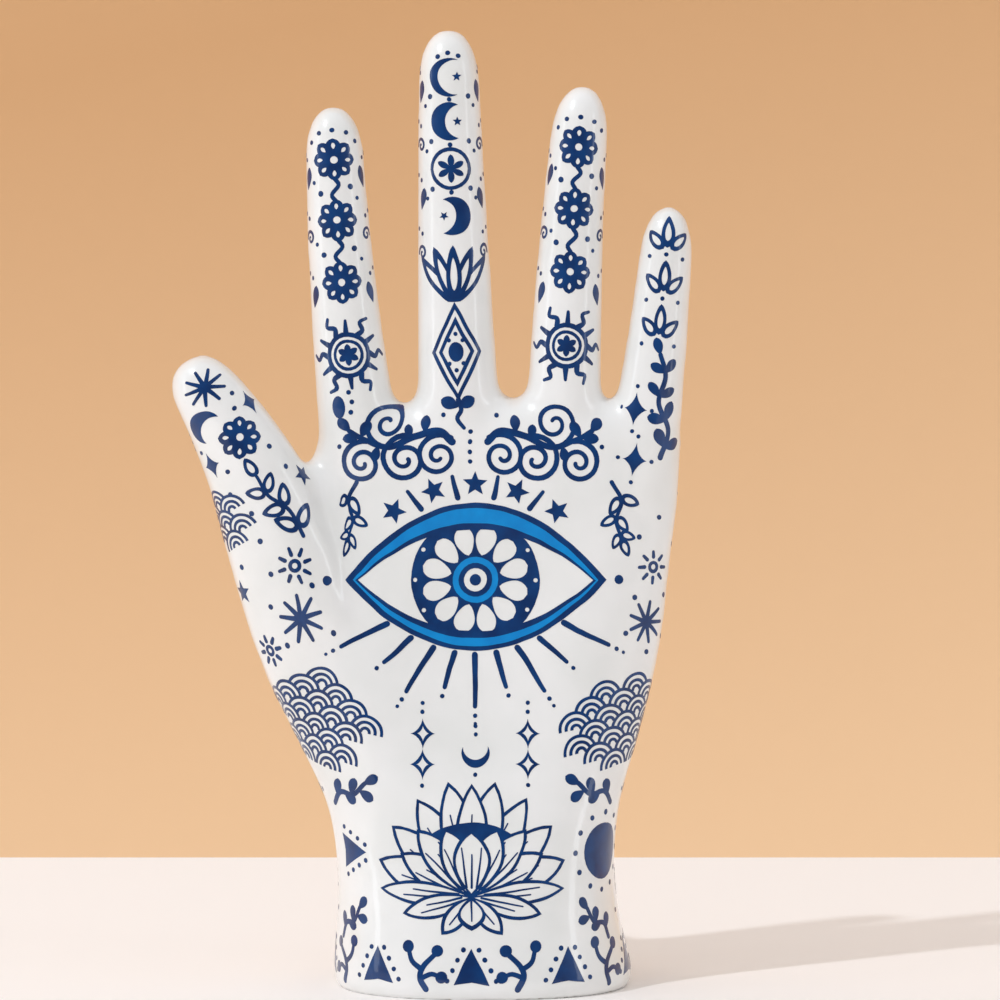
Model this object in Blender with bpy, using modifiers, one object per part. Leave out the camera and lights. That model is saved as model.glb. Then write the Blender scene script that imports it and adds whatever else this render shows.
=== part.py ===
"""Ceramic hand that holds jewelry: an upright open left hand, palm to the front, on an oval foot.

The real piece is slip-cast in one go, so it is one hollow shell with solid fingers and an open foot.
Metres, +Z up. The palm faces -Y and the thumb points to -X. The origin is on the surface that the
foot stands on, under the middle of the hand's whole width.
"""

import math

import bmesh
import bpy
from mathutils import Vector

MM = 0.001

# Body from the foot to the knuckles: heights, side edges and depths of its level sections.
# left and right are where the outline lies, front and back are how far the clay reaches from y = 0.
# A rounded end is drawn in steps and stops at its reach, short of its very tip, where a small flat closes it.
BODY_SECTIONS = {
    "foot": dict(height=0.0 * MM, left=-17.6 * MM, right=37.2 * MM, front=22.6 * MM, back=22.6 * MM),
    "foot_swell": dict(height=3.0 * MM, left=-18.0 * MM, right=37.6 * MM, front=23.0 * MM, back=23.0 * MM),
    "ankle": dict(height=10.0 * MM, left=-17.5 * MM, right=35.7 * MM, front=21.4 * MM, back=21.6 * MM),
    "wrist": dict(height=21.0 * MM, left=-17.2 * MM, right=34.2 * MM, front=18.8 * MM, back=19.0 * MM),
    "heel": dict(height=34.0 * MM, left=-19.3 * MM, right=35.2 * MM, front=15.4 * MM, back=17.0 * MM),
    "low_palm": dict(height=46.0 * MM, left=-24.9 * MM, right=38.6 * MM, front=12.0 * MM, back=15.0 * MM),
    "palm": dict(height=60.0 * MM, left=-31.6 * MM, right=42.2 * MM, front=9.8 * MM, back=13.2 * MM),
    "thumb_root": dict(height=70.0 * MM, left=-32.6 * MM, right=43.8 * MM, front=9.2 * MM, back=12.4 * MM),
    "high_palm": dict(height=80.0 * MM, left=-30.6 * MM, right=44.9 * MM, front=8.8 * MM, back=11.2 * MM),
    "thumb_web": dict(height=92.0 * MM, left=-24.8 * MM, right=46.4 * MM, front=8.3 * MM, back=9.6 * MM),
    "knuckles": dict(height=103.0 * MM, left=-20.8 * MM, right=47.0 * MM, front=7.4 * MM, back=8.0 * MM),
}
BODY_SQUARENESS = 2.35
BODY_TOP_ROUND = 7.0 * MM
ROUND_END_STEPS = 6
ROUND_END_REACH = 0.97
BODY_RING_POINT_COUNT = 80
BODY_RING_STEP = 3.0 * MM

# Soft relief on the palm's front: the ball of the thumb, the little finger's side, and the cup between.
# Each is a bell shape, centred at (x, z), that leans by its angle and rises or sinks by rise.
PALM_RELIEF = {
    "thumb_ball": dict(
        centre=(-18.0 * MM, 58.0 * MM),
        half_width=12.0 * MM,
        half_length=24.0 * MM,
        lean=math.radians(22.0),
        rise=4.0 * MM,
    ),
    "little_finger_side": dict(
        centre=(31.0 * MM, 60.0 * MM),
        half_width=10.0 * MM,
        half_length=24.0 * MM,
        lean=math.radians(-6.0),
        rise=1.8 * MM,
    ),
    "cup": dict(
        centre=(8.0 * MM, 76.0 * MM),
        half_width=13.0 * MM,
        half_length=20.0 * MM,
        lean=0.0,
        rise=-1.3 * MM,
    ),
}

# The four fingers: where the middle line starts in the palm and where the tip ends, both (x, y, z).
# bow is how far the line's middle lies to +X, widths are across the finger in front view, and depths
# are shares of the width. Behind its root a finger goes on into the palm over the sink length, where it
# loses the thinning share of its depth. Its stations crowd towards the tip, where it curves most, and
# its direction at a station is read from the point a small share of its length further on.
FINGERS = {
    "index_finger": dict(
        root=(-12.9 * MM, 0.0 * MM, 98.0 * MM),
        tip=(-18.5 * MM, -1.8 * MM, 165.9 * MM),
        bow=-0.9 * MM,
        root_width=15.0 * MM,
        middle_width=12.0 * MM,
        tip_width=9.9 * MM,
    ),
    "middle_finger": dict(
        root=(5.6 * MM, 0.0 * MM, 98.0 * MM),
        tip=(3.2 * MM, -2.4 * MM, 180.3 * MM),
        bow=-0.2 * MM,
        root_width=15.6 * MM,
        middle_width=12.8 * MM,
        tip_width=10.3 * MM,
    ),
    "ring_finger": dict(
        root=(24.9 * MM, 0.0 * MM, 98.0 * MM),
        tip=(28.8 * MM, -2.0 * MM, 169.7 * MM),
        bow=-0.8 * MM,
        root_width=14.2 * MM,
        middle_width=11.9 * MM,
        tip_width=9.6 * MM,
    ),
    "little_finger": dict(
        root=(39.2 * MM, 0.0 * MM, 96.0 * MM),
        tip=(44.9 * MM, -2.6 * MM, 147.1 * MM),
        bow=0.6 * MM,
        root_width=13.4 * MM,
        middle_width=10.8 * MM,
        tip_width=8.7 * MM,
    ),
}
FINGER_TIP_ROUND = 9.0 * MM
FINGER_ROOT_DEPTH = 0.96
FINGER_TIP_DEPTH = 1.04
FINGER_ROOT_SINK = 18.0 * MM
FINGER_SINK_THINNING = 0.75
FINGER_STATION_COUNT = 26
FINGER_STATION_CROWDING = 1.6
SHARE_STEP = 0.01

# The thumb: its middle line from the tip down into the ball, width in front view, and depth.
THUMB_STATIONS = {
    "tip_end": dict(centre=(-45.7 * MM, -7.4 * MM, 117.2 * MM), width=3.6 * MM, depth=3.4 * MM),
    "tip_round": dict(centre=(-45.0 * MM, -7.3 * MM, 116.2 * MM), width=8.4 * MM, depth=8.0 * MM),
    "tip": dict(centre=(-43.2 * MM, -7.1 * MM, 113.4 * MM), width=11.4 * MM, depth=10.8 * MM),
    "upper_pad": dict(centre=(-40.3 * MM, -6.8 * MM, 109.3 * MM), width=13.0 * MM, depth=12.4 * MM),
    "lower_pad": dict(centre=(-37.2 * MM, -6.4 * MM, 104.2 * MM), width=14.8 * MM, depth=13.6 * MM),
    "joint": dict(centre=(-33.6 * MM, -5.9 * MM, 97.6 * MM), width=16.8 * MM, depth=15.0 * MM),
    "web": dict(centre=(-29.2 * MM, -5.0 * MM, 87.0 * MM), width=20.0 * MM, depth=16.4 * MM),
    "root": dict(centre=(-25.8 * MM, -4.4 * MM, 78.0 * MM), width=21.8 * MM, depth=17.0 * MM),
    "upper_ball": dict(centre=(-22.4 * MM, -3.8 * MM, 69.0 * MM), width=23.2 * MM, depth=17.4 * MM),
    "ball": dict(centre=(-19.0 * MM, -3.0 * MM, 60.0 * MM), width=22.4 * MM, depth=16.4 * MM),
    "lower_ball": dict(centre=(-15.6 * MM, -2.6 * MM, 51.0 * MM), width=20.4 * MM, depth=14.4 * MM),
    "heel": dict(centre=(-12.4 * MM, -2.0 * MM, 42.0 * MM), width=16.6 * MM, depth=12.0 * MM),
    "heel_end": dict(centre=(-10.0 * MM, -1.0 * MM, 33.0 * MM), width=12.0 * MM, depth=9.0 * MM),
}

# The casting: wall thickness, how high the hollow reaches, and how its closed end is rounded.
WALL = 4.6 * MM
HOLLOW_TOP = 86.0 * MM
HOLLOW_END_ROUND = 9.0 * MM
HOLLOW_RING_POINT_COUNT = 36
HOLLOW_RING_STEP = 5.0 * MM

# How the clay is worked: the grain of a merged skin, and how often it is smoothed, first for the
# fillets where shapes meet and then for the whole. What the last smoothing takes off is added first.
SKIN_GRAIN = 1.0 * MM
FILLET_SMOOTHING_PASSES = 90
SKIN_SMOOTHING_PASSES = 14
SMOOTHING_FACTOR = 0.5
SMOOTHING_LOSS = 0.22 * MM
FACES_KEPT = 0.075
FINGER_RING_POINT_COUNT = 40
CUT_MARGIN = 8.0 * MM

GLAZE_COLOUR = (0.87, 0.87, 0.88, 1.0)
GLAZE_ROUGHNESS = 0.12


def clear_scene():
    for obj in list(bpy.data.objects):
        bpy.data.objects.remove(obj, do_unlink=True)


def new_collection(name):
    made = bpy.data.collections.new(name)
    bpy.context.scene.collection.children.link(made)
    return made


def glazed_white():
    """White porcelain under a clear gloss glaze."""
    material = bpy.data.materials.new("white_glazed_porcelain")
    material.use_nodes = True
    shader = material.node_tree.nodes["Principled BSDF"]
    shader.inputs["Base Color"].default_value = GLAZE_COLOUR
    shader.inputs["Roughness"].default_value = GLAZE_ROUGHNESS
    shader.inputs["Metallic"].default_value = 0.0
    return material


def object_from(mesh_data, name, collection):
    """Writes a bmesh into a new object of that collection, with its normals outwards."""
    bmesh.ops.recalc_face_normals(mesh_data, faces=mesh_data.faces[:])
    mesh = bpy.data.meshes.new(name)
    mesh_data.to_mesh(mesh)
    mesh_data.free()
    obj = bpy.data.objects.new(name, mesh)
    collection.objects.link(obj)
    return obj


def through_three(first, middle, last, share):
    """A smooth value that is first, middle and last at shares 0, 0.5 and 1 of the way."""
    return (
        first * (1 - share) * (1 - 2 * share)
        + middle * 4 * share * (1 - share)
        + last * share * (2 * share - 1)
    )


def dome(distance, length):
    """How wide a rounded end is at that distance from its very end, as a share of its full width."""
    if distance >= length:
        return 1.0
    return math.sqrt(max(0.0, 1 - (1 - distance / length) ** 2))


def relief(x, z):
    """How far the palm's front stands out at (x, z) beyond its plain section."""
    total = 0.0
    for bump in PALM_RELIEF.values():
        dx, dz = x - bump["centre"][0], z - bump["centre"][1]
        c, s = math.cos(bump["lean"]), math.sin(bump["lean"])
        across = (dx * c + dz * s) / bump["half_width"]
        along = (dz * c - dx * s) / bump["half_length"]
        total += bump["rise"] * math.exp(-(across**2 + along**2))
    return total


def oval(centre, across, deep, half_width, half_depth):
    """Points of one oval cross-section of a finger."""
    points = []
    for i in range(FINGER_RING_POINT_COUNT):
        angle = 2 * math.pi * i / FINGER_RING_POINT_COUNT
        points.append(centre + across * half_width * math.cos(angle) + deep * half_depth * math.sin(angle))
    return points


def skin_over(mesh_data, rings):
    """Joins each ring of points to the next and closes both ends, which makes one closed body."""
    loops = [[mesh_data.verts.new(point) for point in ring] for ring in rings]
    for lower, upper in zip(loops, loops[1:]):
        for i in range(len(lower)):
            mesh_data.faces.new((lower[i - 1], lower[i], upper[i], upper[i - 1]))
    mesh_data.faces.new(loops[0][::-1])
    mesh_data.faces.new(loops[-1])


def section_at(height):
    """The body's level section at a height: a smooth curve through the named sections."""
    rows = list(BODY_SECTIONS.values())
    last = len(rows) - 1
    i = 0
    while i < last - 1 and height > rows[i + 1]["height"]:
        i += 1
    low, high = rows[i], rows[i + 1]
    before, after = rows[max(i - 1, 0)], rows[min(i + 2, last)]
    span = high["height"] - low["height"]
    t = (height - low["height"]) / span

    def value(key):
        rise_low = (high[key] - before[key]) / max(high["height"] - before["height"], MM)
        rise_high = (after[key] - low[key]) / max(after["height"] - low["height"], MM)
        return (
            low[key] * (2 * t**3 - 3 * t**2 + 1)
            + high[key] * (3 * t**2 - 2 * t**3)
            + rise_low * span * (t**3 - 2 * t**2 + t)
            + rise_high * span * (t**3 - t**2)
        )

    return {key: value(key) for key in ("left", "right", "front", "back")}


def body_ring(height, inset, share, point_count):
    """Points round the body at a height, drawn in by inset, then shrunk to a share of that size."""
    section = section_at(max(height, 0.0))
    middle = (section["left"] + section["right"]) / 2
    half_width = (section["right"] - section["left"]) / 2 - inset
    points = []
    for i in range(point_count):
        angle = 2 * math.pi * i / point_count
        c, s = math.cos(angle), math.sin(angle)
        x = middle + share * half_width * math.copysign(abs(c) ** (2 / BODY_SQUARENESS), c)
        bulge = share * abs(s) ** (2 / BODY_SQUARENESS)
        if s > 0:
            y = bulge * (section["back"] - inset)
        else:
            y = -bulge * (section["front"] - inset + relief(x, height))
        points.append(Vector((x, y, height)))
    return points


def body_rings(bottom, top, top_round, inset, step, point_count):
    """Rings of the body from bottom to a rounded top, drawn in by inset all round."""
    heights = []
    height = bottom
    while height < top - top_round:
        heights.append(height)
        height += step
    for i in range(ROUND_END_STEPS + 1):
        turn = 0.5 * math.pi * ROUND_END_REACH * i / ROUND_END_STEPS
        heights.append(top - top_round * math.cos(turn))
    return [
        body_ring(height, inset, dome(top - height, top_round), point_count)
        for height in heights
    ]


def crossing_axes(along):
    """For a line in that direction: the axis across it in front view, and the axis into the depth."""
    across = along.cross(Vector((0, 1, 0))).normalized()
    return across, across.cross(along).normalized() * -1


def add_body(mesh_data):
    top = BODY_SECTIONS["knuckles"]["height"] + BODY_TOP_ROUND
    rings = body_rings(
        -SKIN_GRAIN, top, BODY_TOP_ROUND, -SMOOTHING_LOSS, BODY_RING_STEP, BODY_RING_POINT_COUNT
    )
    skin_over(mesh_data, rings)


def add_finger(mesh_data, root, tip, bow, root_width, middle_width, tip_width):
    start, end = Vector(root), Vector(tip)
    middle = (start + end) / 2 + Vector((bow, 0.0, 0.0))
    length = (end - start).length + 2 * SMOOTHING_LOSS
    reach = FINGER_ROOT_SINK + length
    rings = []
    for i in range(FINGER_STATION_COUNT):
        left_to_go = (1 - i / FINGER_STATION_COUNT) ** FINGER_STATION_CROWDING
        distance = reach * (1 - left_to_go) - FINGER_ROOT_SINK
        share = distance / length
        centre = through_three(start, middle, end, share)
        along = through_three(start, middle, end, share + SHARE_STEP) - centre
        across, deep = crossing_axes(along)
        half_width = through_three(root_width, middle_width, tip_width, max(share, 0.0)) / 2
        half_width = (half_width + SMOOTHING_LOSS) * dome(length - distance, FINGER_TIP_ROUND)
        half_depth = half_width * (FINGER_ROOT_DEPTH + (FINGER_TIP_DEPTH - FINGER_ROOT_DEPTH) * share)
        half_depth *= 1 - FINGER_SINK_THINNING * (min(distance, 0.0) / FINGER_ROOT_SINK) ** 2
        rings.append(oval(centre, across, deep, half_width, half_depth))
    skin_over(mesh_data, rings)


def add_thumb(mesh_data):
    stations = list(THUMB_STATIONS.values())
    centres = [Vector(station["centre"]) for station in stations]
    rings = []
    for i, station in enumerate(stations):
        along = centres[max(i - 1, 0)] - centres[min(i + 1, len(centres) - 1)]
        across, deep = crossing_axes(along)
        half_width = station["width"] / 2 + SMOOTHING_LOSS
        half_depth = station["depth"] / 2 + SMOOTHING_LOSS
        rings.append(oval(centres[i], across, deep, half_width, half_depth))
    skin_over(mesh_data, rings)


def add_hand(mesh_data):
    """The body, the thumb and the fingers, each one closed and all overlapping."""
    add_body(mesh_data)
    add_thumb(mesh_data)
    for finger in FINGERS.values():
        add_finger(mesh_data, **finger)


def table_block(collection):
    """Everything below the surface that the foot stands on. It trims the foot flat."""
    mesh_data = bmesh.new()
    width = 2 * (BODY_SECTIONS["foot_swell"]["right"] + CUT_MARGIN)
    bmesh.ops.create_cube(mesh_data, size=width)
    bmesh.ops.translate(mesh_data, verts=mesh_data.verts[:], vec=(0.0, 0.0, -width / 2))
    return helper(object_from(mesh_data, "table_block", collection))


def hollow(collection):
    """The space inside the casting, open at the foot: the body's own sections, a wall further in."""
    mesh_data = bmesh.new()
    rings = body_rings(
        -CUT_MARGIN, HOLLOW_TOP, HOLLOW_END_ROUND, WALL, HOLLOW_RING_STEP, HOLLOW_RING_POINT_COUNT
    )
    skin_over(mesh_data, rings)
    return helper(object_from(mesh_data, "hollow", collection))


def helper(obj):
    obj.hide_render = True
    obj.display_type = "WIRE"
    return obj


def cut_with(obj, cutter):
    cut = obj.modifiers.new("cut_" + cutter.name, "BOOLEAN")
    cut.operation = "DIFFERENCE"
    cut.solver = "EXACT"
    cut.object = cutter


def merge_skin(obj, smoothing_passes):
    """Makes the overlapping bodies of an object one skin, and softens where they meet."""
    merge = obj.modifiers.new("one_skin", "REMESH")
    merge.mode = "VOXEL"
    merge.voxel_size = SKIN_GRAIN
    soften = obj.modifiers.new("soften", "SMOOTH")
    soften.factor = SMOOTHING_FACTOR
    soften.iterations = smoothing_passes


def fillets(helpers):
    """The hand smoothed so much that clay fills the corners between palm, thumb and fingers."""
    mesh_data = bmesh.new()
    add_hand(mesh_data)
    obj = helper(object_from(mesh_data, "fillets", helpers))
    merge_skin(obj, FILLET_SMOOTHING_PASSES)
    graph = bpy.context.evaluated_depsgraph_get()
    return bpy.data.meshes.new_from_object(obj.evaluated_get(graph))


def hand(collection, helpers):
    """The hand joined with its fillets into one skin, trimmed flat at the foot and hollowed out."""
    mesh_data = bmesh.new()
    mesh_data.from_mesh(fillets(helpers))
    add_hand(mesh_data)
    obj = object_from(mesh_data, "hand", collection)
    merge_skin(obj, SKIN_SMOOTHING_PASSES)
    thin_out = obj.modifiers.new("fewer_faces", "DECIMATE")
    thin_out.ratio = FACES_KEPT
    cut_with(obj, table_block(helpers))
    cut_with(obj, hollow(helpers))
    obj.data.materials.append(glazed_white())
    obj.data.shade_smooth()
    return obj


def main():
    clear_scene()
    helpers = new_collection("helpers")
    hand(new_collection("hand_jewelry_stand"), helpers)


main()
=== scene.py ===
"""Looks of the hand jewelry stand: white glazed porcelain with ornaments fired on in two blues."""

import cmath
import math

import bpy
import numpy as np
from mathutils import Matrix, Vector, noise
from mathutils.bvhtree import BVHTree
from mathutils.geometry import delaunay_2d_cdt


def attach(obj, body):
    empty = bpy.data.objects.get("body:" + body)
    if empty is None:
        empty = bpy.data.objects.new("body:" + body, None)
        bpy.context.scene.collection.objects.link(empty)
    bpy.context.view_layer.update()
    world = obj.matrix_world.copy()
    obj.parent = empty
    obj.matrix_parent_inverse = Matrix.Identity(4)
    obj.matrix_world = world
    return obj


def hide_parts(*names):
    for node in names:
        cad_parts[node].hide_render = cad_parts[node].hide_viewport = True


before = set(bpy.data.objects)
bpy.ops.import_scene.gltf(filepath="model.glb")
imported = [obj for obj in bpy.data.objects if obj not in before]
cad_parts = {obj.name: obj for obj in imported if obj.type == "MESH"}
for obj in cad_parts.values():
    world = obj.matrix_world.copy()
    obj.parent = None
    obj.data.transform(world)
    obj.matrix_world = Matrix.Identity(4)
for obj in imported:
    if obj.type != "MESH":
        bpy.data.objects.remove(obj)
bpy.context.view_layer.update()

# The casting. Porcelain slip is poured into a plaster mould, sets against its wall and leaves the foot
# open. The seams are sponged off while it is soft, so that palm, thumb and fingers are one smooth skin.
MM = 0.001
CLAY_GRAIN = 0.8 * MM
SPONGING = 20
SPONGED_OFF = 0.25 * MM
SAME_POINT = 0.01 * MM
SMOOTHING = 0.5


def select_only(piece):
    bpy.ops.object.select_all(action="DESELECT")
    piece.select_set(True)
    bpy.context.view_layer.objects.active = piece


def finish_with(piece, kind, **settings):
    """Works a modifier of that kind into the piece for good."""
    modifier = piece.modifiers.new("work", kind)
    for name, value in settings.items():
        setattr(modifier, name, value)
    select_only(piece)
    bpy.ops.object.modifier_apply(modifier=modifier.name)


casting = bpy.data.objects.new("glazed_hand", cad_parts["hand"].data.copy())
bpy.context.scene.collection.objects.link(casting)
select_only(casting)
bpy.ops.object.mode_set(mode="EDIT")
bpy.ops.mesh.select_all(action="SELECT")
bpy.ops.mesh.remove_doubles(threshold=SAME_POINT)
bpy.ops.object.mode_set(mode="OBJECT")
finish_with(casting, "DISPLACE", strength=SPONGED_OFF, mid_level=0.0)
finish_with(casting, "REMESH", mode="VOXEL", voxel_size=CLAY_GRAIN)
finish_with(casting, "SMOOTH", factor=SMOOTHING, iterations=SPONGING)
for corner in casting.data.vertices:
    if corner.co.z < SPONGED_OFF:
        corner.co.z = 0.0
casting.data.shade_smooth()

# The crease between the ball of the thumb and the palm: the ball falls steeply to it, and the palm
# rises slowly again. It is pressed into the skin along its line, given as across and up in mm.
CREASE = (-22.6 + 99.0j, -20.8 + 88.0j, -18.0 + 82.0j, -16.9 + 75.0j, -14.6 + 67.5j, -9.0 + 59.5j)
CREASE_DEPTH = 1.3 * MM
CREASE_FLANK = 1.1
CREASE_REACH = 8.0
CREASE_LEAN = 1.6
FACES_FRONT = -0.2

crease_top, crease_end = CREASE[0].imag, CREASE[-1].imag
on_the_front = [corner for corner in casting.data.vertices if corner.normal.y < FACES_FRONT]
for corner in on_the_front:
    spot = complex(corner.co.x, corner.co.z) / MM
    height = (spot.imag - crease_end) / (crease_top - crease_end)
    if 0 < height < 1:
        ways = []
        for a, b in zip(CREASE, CREASE[1:]):
            along = (spot - a) / (b - a)
            share = min(max(along.real, 0.0), 1.0)
            ways.append((abs(spot - a - (b - a) * share), along.imag))
        distance, side = min(ways)
        distance = math.copysign(distance, side)
        slope = 0.5 + 0.5 * math.tanh(distance / CREASE_FLANK)
        fade = math.sin(math.pi * height**CREASE_LEAN) * math.exp(-max(distance, 0.0) / CREASE_REACH)
        corner.co.y += CREASE_DEPTH * slope * fade
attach(casting, "root")
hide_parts("hand")

# The clear glaze on white porcelain. The biscuit-fired hand is dipped in glass slip and fired again. The
# eye sees a wet gloss with sharp highlights over a soft white body that is a touch warm. The coat lies a
# little uneven, so that its highlights wander.
WHITE_BODY = "#F0EFED"
WHITE_SHADE = "#E9E9E6"
GLAZE_CLOUD = 14.0 * MM
GLAZE_WAVE = 5.0 * MM
GLAZE_WAVE_HEIGHT = 0.02 * MM
GLAZE_IOR = 1.52
GLAZE_COAT = 0.7
GLAZE_ROUGHNESS = 0.05
BODY_ROUGHNESS = 0.28
BODY_GLOSS = 0.5


def linear(hex_colour):
    """An sRGB colour such as #F0EFED as the linear values that a shader takes."""
    values = [int(hex_colour[i : i + 2], 16) / 255 for i in (1, 3, 5)]
    return [v / 12.92 if v <= 0.04045 else ((v + 0.055) / 1.055) ** 2.4 for v in values] + [1.0]


def add_node(tree, kind, sockets=None, **settings):
    """Adds a node. Each of its sockets takes a value, or a link where an output is given."""
    node = tree.nodes.new(kind)
    for name, value in settings.items():
        setattr(node, name, value)
    for name, value in (sockets or {}).items():
        if isinstance(value, bpy.types.NodeSocket):
            tree.links.new(value, node.inputs[name])
        else:
            node.inputs[name].default_value = value
    return node


def new_material(name):
    material = bpy.data.materials.new(name)
    material.use_nodes = True
    material.node_tree.nodes.clear()
    return material


def blotches(tree, size, low, high, detail=2.0):
    """Soft patches of that size: an output that goes from low to high."""
    place = add_node(tree, "ShaderNodeTexCoord").outputs["Object"]
    cloud = add_node(tree, "ShaderNodeTexNoise", {"Vector": place, "Scale": 1 / size, "Detail": detail})
    spread = add_node(
        tree,
        "ShaderNodeMapRange",
        {
            "Value": cloud.outputs["Fac"],
            "From Min": 0.35,
            "From Max": 0.65,
            "To Min": low,
            "To Max": high,
        },
    )
    return spread.outputs["Result"]


def under_glaze(tree, share, first, second, own_gloss):
    """Lays clear glaze over a colour, which is the first where share is 0 and the second where it is 1.
    Its own gloss is that of the colour itself, under the glaze."""
    colour = add_node(
        tree,
        "ShaderNodeMix",
        {"Factor": share, "A": linear(first), "B": linear(second)},
        data_type="RGBA",
    )
    waves = add_node(
        tree,
        "ShaderNodeBump",
        {"Height": blotches(tree, GLAZE_WAVE, 0.0, 1.0), "Distance": GLAZE_WAVE_HEIGHT, "Strength": 1.0},
    )
    shader = add_node(
        tree,
        "ShaderNodeBsdfPrincipled",
        {
            "Base Color": colour.outputs["Result"],
            "Roughness": BODY_ROUGHNESS,
            "IOR": GLAZE_IOR,
            "Specular IOR Level": own_gloss,
            "Coat Weight": GLAZE_COAT,
            "Coat Roughness": GLAZE_ROUGHNESS,
            "Normal": waves.outputs["Normal"],
            "Coat Normal": waves.outputs["Normal"],
        },
    )
    add_node(tree, "ShaderNodeOutputMaterial", {"Surface": shader.outputs["BSDF"]})


glaze = new_material("clear_glazed_white_porcelain")
clouds = blotches(glaze.node_tree, GLAZE_CLOUD, 0.0, 1.0)
under_glaze(glaze.node_tree, clouds, WHITE_BODY, WHITE_SHADE, BODY_GLOSS)
casting.data.materials.clear()
casting.data.materials.append(glaze)

# The fired-on colours. The ornaments are printed in cobalt and in turquoise-blue ceramic ink on film,
# slid on wet round the limb they belong to, and fired into the glaze. The eye sees deep, slightly cloudy
# blue under the glaze's gloss. Drawings can't be modelled by operators, so their outlines are worked out
# as complex numbers, across and up in mm, then cut into faces and laid on the skin.
NAVY_INK = "#043A73"
NAVY_DEEP = "#042C5F"
BRIGHT_INK = "#058BD2"
BRIGHT_DEEP = "#047FC7"
INK_GLOSS = 0.18
INK_CLOUD = 4.0 * MM
INK_THICKNESS = 0.14 * MM
INK_PROUD = 0.05 * MM
DRAWING_GRID = 0.8
DRAWING_SNAP = 0.005
HAND_SWAY = 0.18
HAND_SWAY_LENGTH = 4.6
PEN_PRESSURE = 0.05
PEN_PRESSURE_LENGTH = 1.9
HAND_SEED = 7
ROWS_AVERAGED = (-6, -4, -2, 0, 2, 4, 6)
LINE_STEP = 0.01
ANGLES = np.radians(np.arange(-180.0, 181.0, 2.0))
FRONT = Vector((0.0, -1.0, 0.0))
INKS = {"navy": 0, "bright": 1}

inks = []
for name, ink, deep in (
    ("cobalt_ink_under_glaze", NAVY_INK, NAVY_DEEP),
    ("turquoise_ink_under_glaze", BRIGHT_INK, BRIGHT_DEEP),
):
    material = new_material(name)
    share = blotches(material.node_tree, INK_CLOUD, 0.0, 1.0, detail=4.0)
    under_glaze(material.node_tree, share, ink, deep, INK_GLOSS)
    inks.append(material)

skin = BVHTree.FromObject(casting, bpy.context.evaluated_depsgraph_get())
noise.seed_set(HAND_SEED)


def wrap(low, middle, high, lowest, highest, core=(0.0, 0.0), front=FRONT):
    """A way to lay a flat drawing round a limb whose middle line runs through three points, in mm.
    A flat limb has a core: how far the line spreads to both sides, at its low and its high end.
    It gives lay(u, v): the point on the glaze u mm round from the front, to the right, v mm up.
    Rows next to each other share one measure round the limb, so that a valley doesn't tear a drawing."""
    low, middle, high = (Vector(point) * MM for point in (low, middle, high))
    length = (high - low).length
    rows, measures = {}, {}

    def line(share):
        return (
            low * (1 - share) * (1 - 2 * share)
            + middle * 4 * share * (1 - share)
            + high * share * (2 * share - 1)
        )

    def reach(v, angle):
        share = (v - lowest) * MM / length
        along = (line(share + LINE_STEP) - line(share - LINE_STEP)).normalized()
        right = along.cross(front).normalized()
        out = right.cross(along) * math.cos(angle) + right * math.sin(angle)
        spread = core[0] + (core[1] - core[0]) * min(share, 1.0)
        start = line(share) + right * spread * MM * math.sin(angle)
        place, normal = skin.ray_cast(start, out)[:2]
        while normal and normal.dot(out) < 0:
            place, normal = skin.ray_cast(place + out * SAME_POINT, out)[:2]
        if normal is None:
            place, normal = skin.find_nearest(start)[:2]
        return place + normal * INK_PROUD

    def row(number):
        if number not in rows:
            ring = np.array([reach(number, angle) for angle in ANGLES]) / MM
            steps = np.linalg.norm(np.diff(ring, axis=0), axis=1)
            round_it = np.concatenate(([0.0], np.cumsum(steps)))
            rows[number] = round_it - round_it[len(ANGLES) // 2]
        return rows[number]

    def measure(number):
        if number not in measures:
            near = [max(lowest + 1, min(number + i, highest)) for i in ROWS_AVERAGED]
            measures[number] = sum(row(i) for i in near) / len(near)
        return measures[number]

    def angle_at(u, number):
        round_it = measure(number)
        turns = math.floor((u - round_it[0]) / (round_it[-1] - round_it[0]))
        u -= turns * (round_it[-1] - round_it[0])
        return np.interp(u, round_it, ANGLES) + turns * math.tau

    def lay(u, v):
        below = math.floor(v)
        return reach(v, (1 - v + below) * angle_at(u, below) + (v - below) * angle_at(u, below + 1))

    return lay


def closed(outline):
    """The outline anticlockwise, with points along its long sides."""
    area = sum((a.conjugate() * b).imag for a, b in zip(outline, outline[1:] + outline[:1]))
    if area < 0:
        outline = outline[::-1]
    points = []
    for a, b in zip(outline, outline[1:] + outline[:1]):
        count = max(1, math.ceil(abs(b - a) / DRAWING_GRID))
        points += [a + (b - a) * i / count for i in range(count)]
    return points


def inked_by_hand(point, ink):
    """The artwork is drawn by hand: lines sway a little, and get thinner and thicker on their way.
    A fixed seed gives the same lines in each run."""
    sway = noise.noise_vector((point.real / HAND_SWAY_LENGTH, point.imag / HAND_SWAY_LENGTH, 0))
    layer = 1 + (ink == "bare")
    press = noise.noise_vector(
        (point.real / PEN_PRESSURE_LENGTH, point.imag / PEN_PRESSURE_LENGTH, layer)
    )
    return point + HAND_SWAY * complex(sway.x, sway.y) + PEN_PRESSURE * complex(press.x, press.y)


def grid_in(outline):
    """Grid points inside the outline's box, which let the film bend with the glaze."""
    columns = range(math.ceil(min(p.real for p in outline) / DRAWING_GRID),
                    math.floor(max(p.real for p in outline) / DRAWING_GRID) + 1)
    rows = range(math.ceil(min(p.imag for p in outline) / DRAWING_GRID),
                 math.floor(max(p.imag for p in outline) / DRAWING_GRID) + 1)
    return {(column, row) for column in columns for row in rows}


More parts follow.
